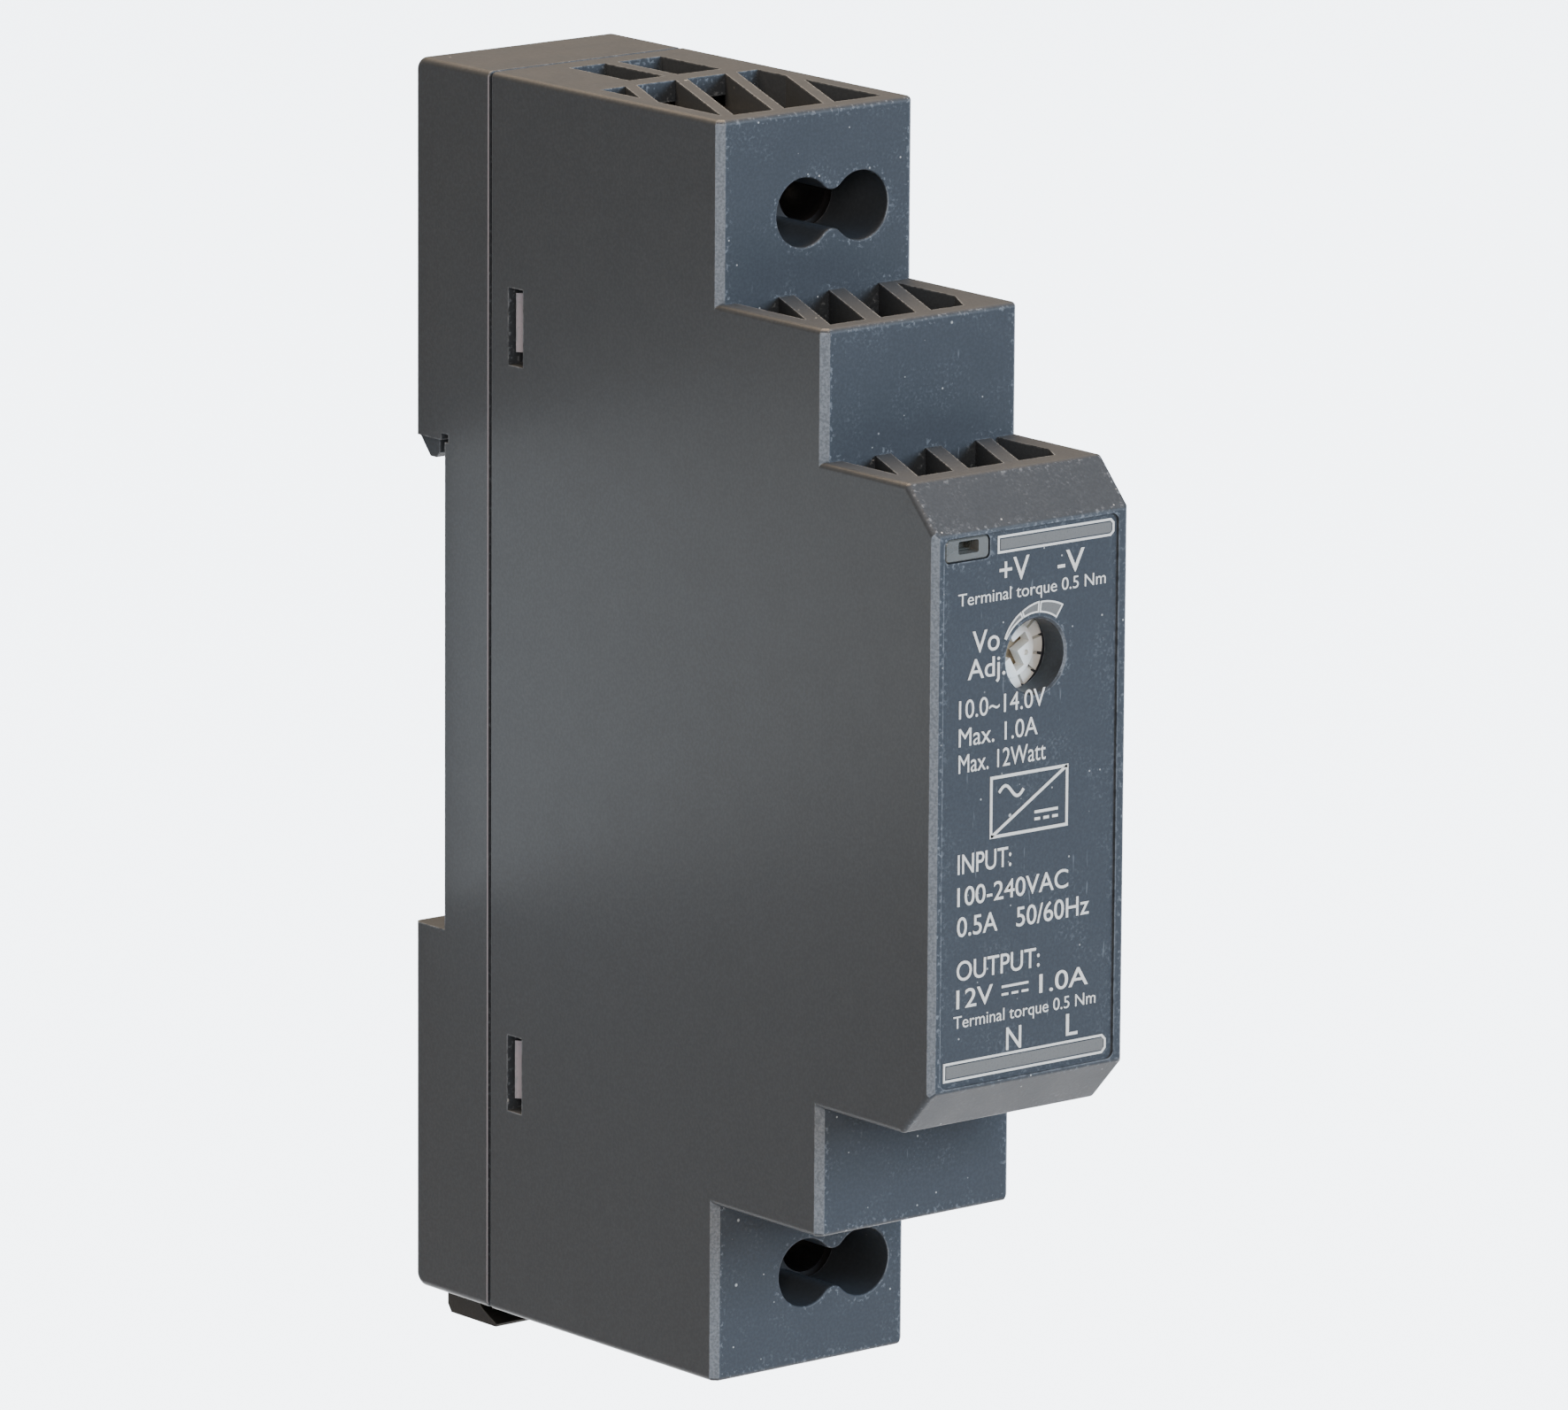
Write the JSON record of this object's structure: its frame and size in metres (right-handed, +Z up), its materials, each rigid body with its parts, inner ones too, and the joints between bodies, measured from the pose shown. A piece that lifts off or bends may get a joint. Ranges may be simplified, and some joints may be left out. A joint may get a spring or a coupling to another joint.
{
  "type": "din rail power supply",
  "caption": "Slim stepped power supply for a 35 mm rail, with a sprung latch, screw clamp terminals at both ends and a trimmer on the front.",
  "frame": {"origin": "centre of the seat that rests on the rail: middle of the width, rail's front plane, rail centre line", "axes": "+X to the right seen from the front, +Y back towards the wall, +Z up"},
  "size_m": [0.0176, 0.058, 0.0925],
  "materials": {
    "housing_plastic": "fine matte texture",
    "latch_plastic": "matte",
    "spring_steel": "drawn wire",
    "block_plastic": "matte",
    "nickel": "bright nickel plate",
    "tinned_brass": "tin plated",
    "board": "solder mask",
    "ferrite": "ground ferrite",
    "phenolic": "moulded",
    "enamel_wire": "enamelled wire",
    "yellow_tape": "polyester tape",
    "capacitor_sleeve": "shrunk sleeve",
    "filter_case": "moulded case",
    "blue_epoxy": "dipped epoxy",
    "glass_tube": "clear",
    "chip_case": "moulded epoxy",
    "ceramic": "fired ceramic",
    "clear_lens": "clear polycarbonate",
    "diode_body": "moulded",
    "trimmer_case": "moulded",
    "rotor_white": "moulded nylon",
    "brass": "stamped"
  },
  "bodies": {
    "housing": {"bridge_rectifier": "chip_case", "bulk_capacitor_front": "capacitor_sleeve", "bulk_capacitor_rear": "capacitor_sleeve", "chip_parts": "ceramic", "contact_bar_line": "tinned_brass", "contact_bar_minus": "tinned_brass", "contact_bar_neutral": "tinned_brass", "contact_bar_plus": "tinned_brass", "filter_capacitor": "filter_case", "front_housing": "housing_plastic", "fuse_link": "glass_tube", "input_terminal_block": "block_plastic", "latch_spring": "spring_steel", "light_window": "clear_lens", "line_choke_core": "ferrite", "line_choke_windings": "enamel_wire", "main_board": "board", "optocoupler": "chip_case", "output_capacitor_front": "capacitor_sleeve", "output_capacitor_rear": "capacitor_sleeve", "output_choke": "ferrite", "output_rectifier": "chip_case", "output_terminal_block": "block_plastic", "rear_base": "housing_plastic", "safety_capacitor": "blue_epoxy", "status_diode": "diode_body", "switching_controller": "chip_case", "transformer_bobbin": "phenolic", "transformer_core": "ferrite", "transformer_tape": "yellow_tape", "transformer_winding": "enamel_wire", "trimmer_body": "trimmer_case", "varistor": "blue_epoxy"},
    "rail_latch": {"rail_latch": "latch_plastic"},
    "trimmer_rotor": {"trimmer_rotor": "rotor_white", "trimmer_wiper": "brass"},
    "clamp_screw_plus": {"clamp_screw_plus": "nickel"},
    "clamp_cage_plus": {"clamp_cage_plus": "nickel"},
    "clamp_screw_minus": {"clamp_screw_minus": "nickel"},
    "clamp_cage_minus": {"clamp_cage_minus": "nickel"},
    "clamp_screw_neutral": {"clamp_screw_neutral": "nickel"},
    "clamp_cage_neutral": {"clamp_cage_neutral": "nickel"},
    "clamp_screw_line": {"clamp_screw_line": "nickel"},
    "clamp_cage_line": {"clamp_cage_line": "nickel"}
  },
  "joints": [
    {"name": "latch_slide", "type": "slide", "parent": "housing", "child": "rail_latch", "axis": [0, 0, -1], "range_m": [0, 0.003], "stiffness_N_per_m": 1500, "springref_m": -0.002, "deforming": ["latch_spring"]},
    {"name": "trimmer_turn", "type": "hinge", "parent": "housing", "child": "trimmer_rotor", "pos_m": [0.0005, -0.052, 0.0101], "axis": [0, 1, 0], "range_deg": [-115, 115]},
    {"name": "plus_screw_turn", "type": "hinge", "parent": "housing", "child": "clamp_screw_plus", "pos_m": [-0.0012, -0.0192, 0.0378], "axis": [0, 1, 0], "range_deg": [0, 1441]},
    {"name": "plus_cage_slide", "type": "slide", "parent": "housing", "child": "clamp_cage_plus", "axis": [0, -1, 0], "range_m": [0, 0.002]},
    {"name": "minus_screw_turn", "type": "hinge", "parent": "housing", "child": "clamp_screw_minus", "pos_m": [0.00388, -0.0192, 0.0378], "axis": [0, 1, 0], "range_deg": [0, 1441]},
    {"name": "minus_cage_slide", "type": "slide", "parent": "housing", "child": "clamp_cage_minus", "axis": [0, -1, 0], "range_m": [0, 0.002]},
    {"name": "neutral_screw_turn", "type": "hinge", "parent": "housing", "child": "clamp_screw_neutral", "pos_m": [-0.0004, -0.0192, -0.0383], "axis": [0, 1, 0], "range_deg": [0, 1441]},
    {"name": "neutral_cage_slide", "type": "slide", "parent": "housing", "child": "clamp_cage_neutral", "axis": [0, -1, 0], "range_m": [0, 0.002]},
    {"name": "line_screw_turn", "type": "hinge", "parent": "housing", "child": "clamp_screw_line", "pos_m": [0.00468, -0.0192, -0.0383], "axis": [0, 1, 0], "range_deg": [0, 1441]},
    {"name": "line_cage_slide", "type": "slide", "parent": "housing", "child": "clamp_cage_line", "axis": [0, -1, 0], "range_m": [0, 0.002]}
  ],
  "couplings": [
    {"joint": "plus_screw_turn", "follows": "plus_cage_slide", "rad_per_m": 12566},
    {"joint": "minus_screw_turn", "follows": "minus_cage_slide", "rad_per_m": 12566},
    {"joint": "neutral_screw_turn", "follows": "neutral_cage_slide", "rad_per_m": 12566},
    {"joint": "line_screw_turn", "follows": "line_cage_slide", "rad_per_m": 12566}
  ]
}
